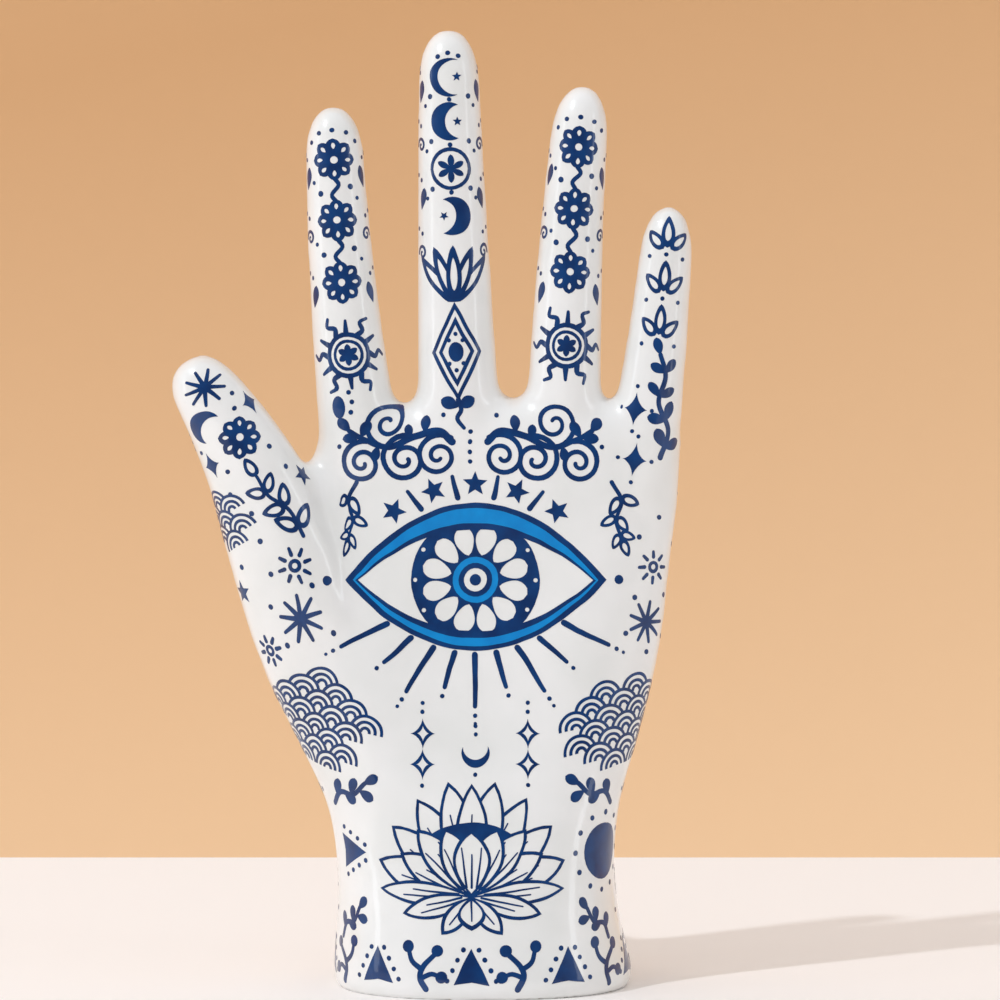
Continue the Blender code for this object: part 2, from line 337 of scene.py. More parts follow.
def inside(ring, spots):
    """Which of the spots are inside the ring, also where the ring of a brush line crosses itself."""
    a = ring[:, None]
    b = np.roll(a, -1, axis=0)
    crossing = (b.imag > spots.imag).astype(int) - (a.imag > spots.imag)
    left = ((b - a).conj() * (spots - a)).imag > 0
    return ((crossing == 1) & left).sum(axis=0) != ((crossing == -1) & ~left).sum(axis=0)


def fire_on(name, shapes, lay):
    """Cuts the drawing into small faces, lays them on the glaze and makes them one thin film.
    shapes are (ink, outline) pairs, and a later one covers those before it. Bare glaze has no film."""
    points, rings, faces, grid = [], [], [], set()
    for ink, outline in shapes:
        ring = [inked_by_hand(point, ink) for point in closed(outline)]
        rings.append(np.array(ring))
        faces.append(list(range(len(points), len(points) + len(ring))))
        points += ring
        if ink != "bare":
            grid |= grid_in(outline)
    points += [complex(*spot) * DRAWING_GRID for spot in sorted(grid)]
    flat, _, triangles = delaunay_2d_cdt(
        [Vector((p.real, p.imag)) for p in points], [], faces, 0, DRAWING_SNAP
    )[:3]
    centres = np.array([complex(*flat[a] + flat[b] + flat[c]) / 3 for a, b, c in triangles])
    covers = np.full(len(triangles), -1)
    for number, ring in enumerate(rings):
        middle = ring.mean()
        near = np.flatnonzero(abs(centres - middle) < abs(ring - middle).max())
        covers[near[inside(ring, centres[near])]] = number
    kept, colours = [], []
    for triangle, cover in zip(triangles, covers):
        if cover >= 0 and shapes[cover][0] != "bare":
            kept.append(triangle)
            colours.append(INKS[shapes[cover][0]])
    used = sorted({corner for triangle in kept for corner in triangle})
    number = {corner: i for i, corner in enumerate(used)}
    mesh = bpy.data.meshes.new(name)
    mesh.from_pydata(
        [lay(*flat[corner]) for corner in used],
        [],
        [[number[corner] for corner in triangle] for triangle in kept],
    )
    mesh.polygons.foreach_set("material_index", colours)
    for ink in inks:
        mesh.materials.append(ink)
    piece = bpy.data.objects.new(name, mesh)
    bpy.context.scene.collection.objects.link(piece)
    mesh.shade_smooth()
    finish_with(piece, "SOLIDIFY", thickness=INK_THICKNESS, offset=-1.0)
    finish_with(
        piece,
        "DATA_TRANSFER",
        object=casting,
        use_loop_data=True,
        data_types_loops={"CUSTOM_NORMAL"},
        loop_mapping="POLYINTERP_NEAREST",
    )
    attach(piece, "root")
    return piece


# The eye in the palm, an old sign of protection, with its ring of petals. Iris, petals, pupil and lids
# lie over each other in that order.
BODY_LINE = {"low": (10, 0, 0), "middle": (10, 0, 30), "high": (10, 0, 60), "lowest": 0, "highest": 106}
BODY_CORE = (5.0, 25.0)
BODY = wrap(**BODY_LINE, core=BODY_CORE)
EYE_AT = -1.6 + 76.4j
EYE_HALF_WIDTH = 24.6
EYE_LID_RISE = 14.4
EYE_LID_DROP = 13.2
IRIS_RADIUS = 12.0
IRIS_PETALS = 12


def turned(degrees):
    return cmath.rect(1, math.radians(degrees))


def placed(shapes, at=0, turn=0, size=1, mirror=False):
    """Copies of the shapes, mirrored left to right, sized, turned and moved."""
    out = []
    for ink, outline in shapes:
        if mirror:
            outline = [-p.conjugate() for p in outline]
        out.append((ink, [at + p * size * turned(turn) for p in outline]))
    return out


def disc(radius, at=0, ink="navy", wide=1.0):
    """A round spot, or an oval one that is wide times as wide as it is high."""
    sides = max(10, round(3 * radius) + 12)
    ring = [radius * turned(360 * i / sides) for i in range(sides)]
    return (ink, [at + complex(p.real * wide, p.imag) for p in ring])


def lid(half_width, rise, inner_half_width, inner_rise, ink):
    """The space between two bows that meet near the corners of the eye."""
    steps = 40
    outer, inner = [], []
    for i in range(steps + 1):
        across = 1 - 2 * i / steps
        outer.append(complex(half_width * across, rise * (1 - across**2)))
        inner.append(complex(inner_half_width * across, inner_rise * (1 - across**2)))
    return (ink, outer + inner[::-1])


def leaf(length, width, fullness=0.75, ink="navy", roundness=1.0):
    """A leaf from 0 straight up. Less roundness than 1 gives it blunter ends."""
    steps = 14
    right, left = [], []
    for i in range(1, steps):
        half = 0.5 * width * math.sin(math.pi * (i / steps) ** fullness) ** roundness
        right.append(complex(half, length * i / steps))
        left.append(complex(-half, length * i / steps))
    return (ink, [0j] + right + [complex(0, length)] + left[::-1])


def stroke(points, width, end_width=None, ink="navy"):
    """A brush line through the points with round ends, that may widen or narrow to its end."""
    end_width = width if end_width is None else end_width
    last = len(points) - 1
    right, left = [], []
    for i, point in enumerate(points):
        ahead = points[min(i + 1, last)] - points[max(i - 1, 0)]
        side = 1j * ahead / abs(ahead) * (width + (end_width - width) * i / last) / 2
        right.append(point - side)
        left.append(point + side)
    cap = range(36, 180, 36)
    far_cap = [points[-1] + (right[-1] - points[-1]) * turned(angle) for angle in cap]
    near_cap = [points[0] + (left[0] - points[0]) * turned(angle) for angle in cap]
    return (ink, right + far_cap + left[::-1] + near_cap)


def smooth(*points, step=0.4):
    """A soft curve through all the points."""
    points = [2 * points[0] - points[1], *points, 2 * points[-1] - points[-2]]
    curve = []
    for a, b, c, d in zip(points, points[1:], points[2:], points[3:]):
        count = max(1, math.ceil(abs(c - b) / step))
        for i in range(count):
            t = i / count
            bend = (2 * a - 5 * b + 4 * c - d) * t**2 + (3 * b - a - 3 * c + d) * t**3
            curve.append(b + ((c - a) * t + bend) / 2)
    return curve + [points[-2]]


def dots(radius, *places):
    return [disc(radius, at=place) for place in places]


eye = [disc(IRIS_RADIUS)]
for i in range(IRIS_PETALS):
    petal = leaf(5.4, 3.7, fullness=1.4, ink="bare", roundness=0.45)
    angle = 360 * (i + 0.5) / IRIS_PETALS
    eye += placed([petal], at=4.7j * turned(angle), turn=angle)
    eye.append(disc(0.4, at=11.2j * turned(angle + 180 / IRIS_PETALS), ink="bare"))
eye += [
    disc(4.3, ink="bright"),
    disc(3.2),
    disc(2.2, ink="bare"),
    disc(1.1),
    lid(EYE_HALF_WIDTH, EYE_LID_RISE, EYE_HALF_WIDTH - 2.6, EYE_LID_RISE - 5.0, "navy"),
    lid(EYE_HALF_WIDTH - 1.6, EYE_LID_RISE - 1.0, EYE_HALF_WIDTH - 2.2, EYE_LID_RISE - 3.8, "bright"),
    lid(EYE_HALF_WIDTH, -EYE_LID_DROP, EYE_HALF_WIDTH - 2.6, 3.6 - EYE_LID_DROP, "navy"),
    lid(EYE_HALF_WIDTH - 1.6, 0.8 - EYE_LID_DROP, EYE_HALF_WIDTH - 2.0, 2.3 - EYE_LID_DROP, "bright"),
]
fire_on("print_eye", placed(eye, at=EYE_AT), BODY)

# The shine round the eye: five stars and short rays over it, nine rays with drops under it, and what
# hangs from them, two pairs of sparkles and a lying moon.
STARS_OVER = (-50, -25, 0, 25, 50)
RAYS_OVER = (-37.5, -12.5, 12.5, 37.5)
RAYS_UNDER = (-64, -48, -32, -16, 0, 16, 32, 48, 64)


def lid_edge(angle, rise):
    """How far the lid's outer line is from the middle of the eye, at an angle from upright."""
    bend = rise * (math.sin(math.radians(angle)) / EYE_HALF_WIDTH) ** 2
    steep = math.cos(math.radians(angle))
    if bend < 1e-6:
        return rise / steep
    return (math.sqrt(steep**2 + 4 * bend * rise) - steep) / (2 * bend)


def star(radius, centre=0, waist=0.45):
    """A solid star of five points."""
    reaches = (radius, radius * waist) * 5
    return ("navy", [centre + reach * turned(90 + 36 * i) for i, reach in enumerate(reaches)])


def sparkle(radius, height, ink="navy"):
    """A star of four points with hollow sides."""
    outline = []
    for i in range(32):
        around = turned(360 * i / 32)
        outline.append(complex(radius * around.real**3, height * around.imag**3))
    return (ink, outline)


def crescent(radius, bite=0.3):
    """A moon that opens to the right. A bigger bite leaves it thicker."""
    horn, steps = 62, 24
    tip = radius * turned(horn)
    inner = abs(tip - bite * radius)
    inner_horn = math.degrees(cmath.phase(tip - bite * radius))
    outer_line = [radius * turned(horn + (360 - 2 * horn) * i / steps) for i in range(steps + 1)]
    inner_line = [
        bite * radius + inner * turned(360 - inner_horn - (360 - 2 * inner_horn) * i / steps)
        for i in range(1, steps)
    ]
    return ("navy", outer_line + inner_line)


shine = []
for angle in STARS_OVER:
    edge = lid_edge(angle, EYE_LID_RISE)
    shine += placed([star(2.4)], at=(edge + 3.5) * turned(90 - angle), turn=-angle)
for angle in RAYS_OVER:
    edge = lid_edge(angle, EYE_LID_RISE)
    ray = turned(90 - angle)
    shine.append(stroke([(edge + 1.2) * ray, (edge + 5.2) * ray], 1.05, 0.7))
for i, angle in enumerate(RAYS_UNDER):
    edge = lid_edge(angle, EYE_LID_DROP)
    ray = turned(angle - 90)
    length = 10.2 if i % 2 == 0 else 7.2
    shine.append(stroke([(edge + 0.7) * ray, (edge + length) * ray], 1.15, 0.8))
    shine += dots(0.42, (edge + length + 1.7) * ray)
    if i % 2 == 0:
        shine += dots(0.34, (edge + length + 3.2) * ray)
shine += dots(0.9, EYE_HALF_WIDTH + 2.4, -EYE_HALF_WIDTH - 2.4)
fire_on("print_shine", placed(shine, at=EYE_AT), BODY)

hanging = placed([crescent(2.6, 0.42)], at=-1.6 + 44.4j, turn=90)
hanging += dots(0.4, *(-1.6 + height * 1j for height in (49.4, 47.9, 40.6)))
for side in (-1, 1):
    for height in (48.0, 42.4):
        at = -1.6 + side * 9.8 + height * 1j
        hanging += placed([sparkle(2.3, 2.8), sparkle(1.15, 1.5, ink="bare")], at=at)
    hanging += dots(0.4, *(-1.6 + side * 9.8 + height * 1j for height in (52.0, 53.6, 38.6)))
fire_on("print_hanging_sparkles", hanging, BODY)

# The scrolls across the roots of the fingers: two vines that leave the middle to both sides, with curls
# and leaves, and a sprig that hangs from each down the side of the eye.
SCROLL_MIDDLE = -2.6 + 0.6j
CURL_CLOSES = 0.86
LEAF_SPREAD = 50
LEAVES_SHRINK = 0.3


def curl(start, centre, turns, width):
    """A tendril that leaves start and winds round the centre, anticlockwise where turns is above 0."""
    arm = start - centre
    count = max(12, round(abs(turns) * 26))
    wind = [
        centre + arm * (1 - CURL_CLOSES * i / count) * turned(360 * turns * i / count)
        for i in range(count + 1)
    ]
    return stroke(wind, width, width * 0.75)


def open_leaf(length, width):
    """A leaf drawn as a thick line round bare glaze."""
    opening = leaf(length * 0.58, width * 0.45, ink="bare", roundness=0.7)
    return [leaf(length, width, roundness=0.6), *placed([opening], at=length * 0.2j)]


def sprig(stem, spots, length, width, drawn=open_leaf, stem_width=0.8):
    """Leaves in pairs along a stem, smaller to its end, with one at the very end."""
    shapes = [stroke(stem, stem_width, stem_width * 0.75)]
    for spot in spots:
        i = min(round(spot * (len(stem) - 1)), len(stem) - 2)
        heading = math.degrees(cmath.phase(stem[i + 1] - stem[i])) - 90
        size = 1 - LEAVES_SHRINK * spot
        for side in (-1, 1):
            shapes += placed(drawn(length, width), stem[i], heading + side * LEAF_SPREAD, size)
    heading = math.degrees(cmath.phase(stem[-1] - stem[-2])) - 90
    return shapes + placed(drawn(length, width), at=stem[-1], turn=heading, size=0.8)


def full_leaf(length, width):
    return [leaf(length, width, 1.3, roundness=0.6)]


vine = smooth(3.4 + 101.6j, 5.8 + 103.6j, 10.4 + 102.6j, 15.0 + 100.6j, 19.6 + 101.8j, 22.8 + 103.6j)
scroll = [
    stroke(vine, 1.4, 0.9),
    curl(3.6 + 102.4j, 6.0 + 98.9j, -1.7, 1.0),
    curl(10.4 + 102.5j, 12.2 + 98.2j, -1.85, 1.05),
    curl(13.4 + 101.2j, 15.8 + 105.0j, 1.7, 0.95),
    curl(19.4 + 101.6j, 20.2 + 97.6j, -1.75, 1.0),
]
for place, heading, size in (
    (8.6 + 103.4j, 4, 0.85),
    (11.4 + 102.2j, -8, 0.7),
    (17.2 + 100.8j, -165, 0.8),
    (20.8 + 102.5j, -100, 0.85),
    (20.6 + 102.4j, 26, 0.9),
    (22.6 + 103.5j, -44, 0.9),
):
    scroll += placed([leaf(3.8, 2.3, 1.3, roundness=0.6)], at=place, turn=heading, size=size)
scroll += dots(0.45, 5.0 + 106.6j, 24.6 + 100.6j)
scrolls = scroll + placed(scroll, mirror=True)
scrolls += dots(0.45, *((98.0 + 1.8 * i) * 1j for i in range(4)))
fire_on("print_scrolls", placed(scrolls, at=SCROLL_MIDDLE), BODY)

stem = smooth(24.0 + 94.6j, 25.8 + 91.2j, 24.8 + 87.4j, 26.0 + 84.0j)
side_sprig = sprig(stem, (0.25, 0.6, 0.9), 4.4, 2.5)
fire_on("print_side_sprigs", side_sprig + placed(side_sprig, mirror=True), BODY)

# The waves at the heel of the hand: fans of round crests, each over the two behind it.
CREST = 3.4
CREST_LINE = 0.58
CREST_ROW_DROP = 0.64
CREST_RINGS = (1.0, 0.66, 0.34)


def waves(counts):
    """Rows of crests, the highest row first, each row over the one before."""
    shapes = []
    for i, count in enumerate(counts):
        for j in range(count):
            at = complex((j - (count - 1) / 2) * 2 * CREST, -i * CREST * CREST_ROW_DROP)
            for share in CREST_RINGS:
                for radius, ink in ((CREST * share, "navy"), (CREST * share - CREST_LINE, "bare")):
                    ring = [at + radius * turned(180 * k / 18) for k in range(19)]
                    foot = [at + complex(-radius * 0.94, -1.3), at + complex(radius * 0.94, -1.3)]
                    shapes.append((ink, ring + foot if ink == "bare" else ring))
    return shapes


fire_on("print_left_waves", placed(waves((1, 2, 3, 4, 3, 2, 3, 2)), at=-30.4 + 57.0j, turn=-14), BODY)
fire_on("print_right_waves", placed(waves((2, 3, 4, 3, 4, 3, 2)), at=26.4 + 55.0j, turn=12), BODY)

# The lotus over the foot, opened wide: back petals, inner petals over them, and leaves at its foot.
LOTUS_AT = -2.2 + 18.6j
LOTUS_LINE = 0.58


def petal(length, width, heading, veins=1):
    """A pointed petal drawn in line, from 0 towards its heading, which is 0 upwards."""
    shapes = [leaf(length, width, 1.15, roundness=0.8)]
    inner = leaf(length - 2.6 * LOTUS_LINE, width - 2 * LOTUS_LINE, 1.15, ink="bare", roundness=0.8)
    shapes += placed([inner], at=1.1j * LOTUS_LINE)
    for i in range(veins):
        across = (i - (veins - 1) / 2) * width * 0.26
        ends = (complex(across * 0.5, length * 0.14), complex(across, length * (0.72 - 0.1 * (i % 2))))
        shapes.append(stroke(ends, 0.42, 0.26))
    return placed(shapes, turn=heading)


lotus = []
for heading in (70, -70, 50, -50, 30, -30, 12, -12):
    lotus += petal(21.6 - abs(heading) * 0.04, 6.6, heading, veins=2)
lotus += petal(20.4, 6.2, 0)
lotus.append(("navy", [13.4 * turned(90 + angle) for angle in range(-46, 47, 4)] + [0j]))
for heading in (60, -60, 40, -40):
    lotus += petal(16.6 - abs(heading) * 0.02, 5.8, heading, veins=3)
for heading in (22, -22):
    lotus += petal(13.4, 6.2, heading, veins=3)
lotus += petal(12.2, 7.0, 0, veins=3)
for heading in (86, -86, 104, -104):
    lotus += petal(17.6 if abs(heading) < 90 else 13.4, 4.4, heading, veins=2)
for heading in (140, -140):
    lotus += petal(8.8, 4.0, heading)
lotus += petal(6.0, 5.2, 180)
fire_on("print_lotus", placed(lotus, at=LOTUS_AT), BODY)

# The wrist, between the lotus and the sides of the hand: branches with buds, dotted peaks and a round spot
# in a ring of dots.


def peak(height):
    """A solid peak with a row of dots up each of its sides."""
    half = height * 0.5
    outline = [complex(-half, 0), complex(0, height * 0.08), complex(half, 0), complex(0, height)]
    shapes = [("navy", outline)]
    for side in (-1, 1):
        row = [complex(side * (half + 1.2 - 0.31 * i * half), 0.8 + i * height * 0.28) for i in range(4)]
        shapes += dots(height * 0.07, *row)
    return shapes


branch = [stroke(smooth(0j, 1.5 + 2.6j, 0.4 + 5.4j, 1.8 + 8.4j), 1.0, 0.8)]
for at, turn in (
    (1.0 + 1.4j, -62),
    (1.4 + 3.4j, 50),
    (0.5 + 4.8j, -56),
    (0.8 + 6.8j, 44),
    (1.7 + 8.0j, -14),
):
    branch += placed([leaf(3.2, 1.9, 1.5, roundness=0.6)], at=at, turn=turn)
half_wrist = placed(branch, at=28.6 + 10.2j, turn=58, size=0.95)
half_wrist += placed(branch, at=28.2 + 34.8j, turn=76, size=1.05)
half_wrist += placed(peak(5.4), at=42.0 + 20.0j, turn=90)
half_wrist += placed(branch, at=39.0 + 29.0j, turn=14)
half_wrist += dots(0.45, 33.4 + 14.6j, 33.0 + 37.0j, 44.6 + 33.0j, 46.0 + 16.0j)
wrist = half_wrist + placed(half_wrist, mirror=True) + placed(peak(6.4), at=-27.0 + 26.0j, turn=-90)
wrist.append(disc(5.2, at=27.0 + 26.0j))
wrist += dots(0.5, *(27.0 + 26.0j + 7.1 * turned(30 * i) for i in range(12)))
fire_on("print_wrist", placed(wrist, at=-2.2), BODY)

# The border round the foot: dotted peaks in turn with forked branches, all the way round.
PEAKS = 9
FOOT_ROUND = 163.0
PEAK_HEIGHT = 6.6


def fork():
    """A branch with two arms that end in buds."""
    shapes = [
        stroke(smooth(0.6 - 0.4j, -0.4 + 1.8j, 0.2 + 3.8j, 2.6 + 6.2j), 1.15, 0.9),
        stroke(smooth(-0.1 + 3.2j, -2.0 + 4.6j, -2.7 + 6.8j), 1.0, 0.8),
        stroke(smooth(-0.3 + 1.6j, 1.7 + 2.4j, 3.2 + 1.9j), 0.95, 0.8),
    ]
    return shapes + dots(1.1, 2.8 + 6.6j, -2.8 + 7.2j, 3.5 + 1.8j)


border = []
for i in range(PEAKS):
    at = FOOT_ROUND * (i - PEAKS // 2) / PEAKS
    border += placed(peak(PEAK_HEIGHT), at=at + 2.8j)
    border += placed(fork(), at=at + FOOT_ROUND / PEAKS / 2 + 2.4j, mirror=i % 2 == 0)
fire_on("print_foot_border", placed(border, at=-2.2), BODY)

# The thumb, from its tip down: a burst, a moon, a flower, a leafy sprig, waves at its side, a small sun
# and a burst, with stars, sparkles and dots between them.
THUMB_LINE = {
    "low": (-20, -3, 60),
    "middle": (-32.4, -5.9, 92.5),
    "high": (-45.2, -7.4, 116.6),
    "lowest": 0,
}


def burst(radius, rays=8, width=0.95, turn=0.0):
    """Thin rays from one middle."""
    tips = [radius * turned(turn + 360 * i / rays) for i in range(rays)]
    return [stroke([0j, tip], width, width * 0.65) for tip in tips]


def flower(radius, petals=8):
    """A solid rosette with bare drops in its petals and a bare middle."""
    shapes = [disc(radius * 0.6)]
    for i in range(petals):
        turn = 360 * i / petals
        shapes += placed([leaf(radius, radius * 0.66, 1.5, roundness=0.6)], turn=turn)
    for i in range(petals):
        turn = 360 * i / petals
        drop = leaf(radius * 0.3, radius * 0.18, 1.2, ink="bare", roundness=0.6)
        shapes += placed([drop], at=0.5j * radius * turned(turn), turn=turn)
    return shapes + [disc(radius * 0.17, ink="bare")]


def little_sun(radius, rays=8):
    """A ring with a short dash for each ray."""
    shapes = [disc(radius * 0.52), disc(radius * 0.22, ink="bare")]
    for i in range(rays):
        ray = turned(360 * i / rays)
        shapes.append(stroke([radius * 0.85 * ray, radius * 1.3 * ray], 0.75, 0.6))
    return shapes


thumb_tip = placed(burst(3.9, 9, turn=10), at=0.6 + 55.4j)
thumb_tip += placed([crescent(3.5, 0.7)], at=-3.2 + 47.8j, turn=-50)
thumb_tip += placed(flower(4.2, 8), at=2.0 + 42.6j, turn=20)
for at in (-5.8 + 40.0j, 7.4 + 48.0j):
    thumb_tip.append(placed([sparkle(2.0, 2.7)], at=at)[0])
for spots in (
    (4.6 + 51.4j, 3.6 + 48.4j, -7.2 + 43.2j, -3.0 + 37.6j),
    (6.4 + 38.4j, -4.6 + 33.4j, -2.0 + 28.6j),
):
    thumb_tip += dots(0.5, *spots)
stem = smooth(5.2 + 21.4j, 4.8 + 26.2j, 2.2 + 30.4j, 1.6 + 34.4j)
thumb_root = sprig(stem, (0.12, 0.42, 0.74), 5.2, 2.9)
thumb_root += placed(waves((1, 2, 1, 2, 1)), at=-9.0 + 32.0j, size=0.95, turn=8)
thumb_root += placed(little_sun(2.3), at=1.8 + 17.4j) + placed(burst(3.8, 9), at=-0.6 + 9.0j)
thumb_root += placed(little_sun(1.9), at=-9.0 + 5.6j) + placed(little_sun(1.9), at=-12.4 + 46.0j)
for at, turn in ((11.0 + 31.0j, 12), (-11.0 + 16.0j, -8)):
    thumb_root += placed([star(2.2)], at=at, turn=turn)
for spots in (
    (-2.6 + 23.4j, 7.8 + 33.8j, -3.0 + 17.4j, 3.4 + 13.4j),
    (-5.4 + 12.4j, -4.8 + 5.6j, 4.2 + 5.2j, -8.6 + 20.2j),
):
    thumb_root += dots(0.5, *spots)
fire_on("print_thumb", thumb_tip + thumb_root, wrap(**THUMB_LINE, highest=60))

# The index and the ring finger carry a chain of flowers down to a sun with waving rays.
INDEX_LINE = {
    "low": (-12.9, 0, 98),
    "middle": (-16.6, -0.9, 132),
    "high": (-18.5, -1.8, 165.9),
    "lowest": 98,
}
RING_LINE = {
    "low": (24.9, 0, 98),
    "middle": (26.1, -1.0, 134),
    "high": (28.8, -2.0, 169.7),
    "lowest": 98,
}


def waving_sun(radius):
    """A ringed sun with a flower in it, whose rays are waves and dashes in turn."""
    shapes = [disc(radius), disc(radius * 0.8, ink="bare")]
    shapes += [disc(radius * 0.68), disc(radius * 0.54, ink="bare")]
    for i in range(6):
        shapes += placed([leaf(radius * 0.48, 1.2, 1.2, roundness=0.7)], turn=60 * i)
    for i in range(12):
        ray = [0j, 2.0j]
        if i % 2:
            ray = smooth(-0.2j, 0.6 + 1.1j, -0.5 + 2.2j, 0.4 + 3.4j)
        shapes += placed([stroke(ray, 1.05, 0.6)], at=radius * 1j * turned(30 * i), turn=30 * i)
    return shapes


def side_marks(heights, across):
    """Small swirls, drops and dots in turn down both sides of a finger."""
    shapes = []
    for i, height in enumerate(heights):
        for side in (-1, 1):
            at = side * across + height * 1j
            if i % 2:
                shapes += placed([curl(1.5 + 0j, 0j, 1.2, 0.6)], at=at, mirror=side < 0)
            else:
                shapes += placed([leaf(4.2, 1.9, 1.3, roundness=0.7)], at=at - 2.0j, turn=side * 14)
            shapes += dots(0.42, at + 3.6j, at + side * 1.5 + 4.6j)
    return shapes


def flower_chain(tops, sun_at):
    shapes = []
    for top in tops:
        shapes += placed(flower(4.0, 8), at=top * 1j)
    for upper, lower in zip(tops, tops[1:]):
        middle = (upper + lower) / 2
        reach = (upper - lower) / 2 - 3.7
        link = smooth(reach * 1j, 0.7 + 0.4j * reach, -0.7 - 0.4j * reach, -reach * 1j)
        shapes += placed([stroke(link, 0.8)], at=middle * 1j)
        for side in (-1, 1):
            shapes += dots(0.55, side * 3.0 + (middle + 0.5 * side) * 1j)
            shapes += dots(0.4, side * 4.4 + (middle - 1.6 * side) * 1j)
    shapes += placed(waving_sun(4.3), at=sun_at)
    for angle in (-52, -26, 0, 26, 52):
        shapes += dots(0.45, tops[0] * 1j + 5.6j * turned(angle))
    return shapes + side_marks((152, 141, 130), 6.6)


index = flower_chain((155.2, 143.8, 132.2), 118.6j)
index.append(disc(2.1, at=-3.0 + 109.2j, wide=0.6))
index += dots(0.45, -0.8 + 108.0j, -0.4 + 109.8j, -0.8 + 111.6j, -3.0 + 112.6j)
fire_on("print_index_finger", index, wrap(**INDEX_LINE, highest=164))
ring = flower_chain((157.4, 145.8, 134.0), 120.2j)
fire_on("print_ring_finger", ring, wrap(**RING_LINE, highest=168))

# The middle finger shows the moon from new to full and back, then a fan of leaves over a spot in a
# diamond that ends in leaves.
MIDDLE_LINE = {
    "low": (5.6, 0, 98),
    "middle": (4.2, -1.2, 139.1),
    "high": (3.2, -2.4, 180.3),
    "lowest": 98,
}
MOON_HEIGHTS = (170.4, 162.2, 153.4, 144.6)

moons = []
for height, bite, turn in zip(MOON_HEIGHTS, (0.35, 0.7, None, 0.7), (0, 0, 0, 180)):
    at = height * 1j
    if bite is None:
        moons += [disc(4.0, at=at), disc(3.3, at=at, ink="bare")]
        for i in range(6):
            moons += placed(full_leaf(2.7, 1.2), at=at, turn=60 * i)
    else:
        moons += placed([crescent(3.6, bite), star(0.9, centre=1.5)], at=at, turn=turn)
for upper, lower in zip(MOON_HEIGHTS, MOON_HEIGHTS[1:]):
    middle = (upper + lower) / 2
    for side in (-1, 1):
        moons += dots(0.5, side * 3.8 + (middle + 0.7) * 1j)
        moons += dots(0.4, side * 5.0 + (middle - 1.0) * 1j)
    moons += dots(0.45, middle * 1j)
moons += dots(0.45, 175.0j, -1.8 + 174.4j, 1.8 + 174.4j)
for heading, length in ((40, 11.5), (-40, 11.5), (20, 11.0), (-20, 11.0), (0, 10.6)):
    moons += placed(open_leaf(length, 2.9), at=128.6j, turn=heading)
for size, ink in ((1.0, "navy"), (0.84, "bare"), (0.7, "navy"), (0.54, "bare")):
    moons.append((ink, [119.2j + size * corner for corner in (4.9, 9.4j, -4.9, -9.4j)]))
moons.append(disc(1.9, at=119.2j, wide=0.75))
moons += dots(0.4, 122.6j, 115.8j, -1.3 + 121.4j, 1.3 + 121.4j, -1.3 + 117.0j, 1.3 + 117.0j)
moons.append(stroke(smooth(110.2j, 0.5 + 108.4j, -0.3 + 106.8j, 1.0 + 105.0j), 1.0, 0.7))
for heading in (-64, 64):
    moons += placed(full_leaf(3.6, 2.3), at=108.9j, turn=heading)
moons += side_marks((168, 158, 148, 138), 6.9)
fire_on("print_middle_finger", moons, wrap(**MIDDLE_LINE, highest=178))

# The little finger has three tufts of leaves over a vine, and two sparkles at its root.
LITTLE_LINE = {
    "low": (39.2, 0, 96),
    "middle": (42.6, -1.3, 121.5),
    "high": (44.9, -2.6, 147.1),
    "lowest": 96,
}

tufts = []
for height in (138.2, 130.0, 121.8):
    for heading, length in ((0, 5.8), (44, 4.4), (-44, 4.4)):
        tufts += placed(open_leaf(length, 2.4), at=height * 1j + 0.9j * turned(heading), turn=heading)
    tufts += dots(0.42, *(across + (height - 0.4 - 0.2 * abs(across)) * 1j for across in (-3.2, 0, 3.2)))
stem = smooth(3.4 + 100.0j, 4.4 + 105.0j, 1.6 + 110.0j, 2.2 + 115.0j, 0.8 + 119.0j)
tufts += sprig(stem, (0.1, 0.36, 0.6, 0.82), 4.2, 2.3, full_leaf, 1.1)
for at in (-2.8 + 108.4j, -1.4 + 99.0j):
    tufts.append(placed([sparkle(2.3, 3.2)], at=at)[0])
    tufts += dots(0.4, at + 4.3j, at - 4.3j, at + 3.2, at - 3.2)
fire_on("print_little_finger", tufts, wrap(**LITTLE_LINE, highest=145))

# The little finger's side of the palm: a small sun and a burst, with dots about them.
edge_side = placed(little_sun(2.3), at=32.4 + 78.6j) + placed(burst(3.8, 9), at=31.4 + 68.4j)
edge_side += dots(0.5, 33.6 + 88.0j, 29.4 + 84.4j, 28.6 + 73.0j, 35.8 + 73.4j)
edge_side += dots(0.5, 26.8 + 66.4j, 36.6 + 65.6j, 31.6 + 62.8j, 38.6 + 83.0j)
for at in (42.0 + 92.0j, 41.0 + 60.0j):
    edge_side.append(placed([star(2.4)], at=at)[0])
    edge_side += dots(0.45, at + 4.6j, at - 4.4j)
fire_on("print_edge_side", edge_side, BODY)

# The back of the hand, which is printed more sparely: a round flower of many petals between the scrolls
# and the lotus, and the fingers' own chains, moons and tufts once more.
BACK = wrap(**BODY_LINE, core=BODY_CORE, front=-FRONT)
ROUND_FLOWER_AT = 74.0j

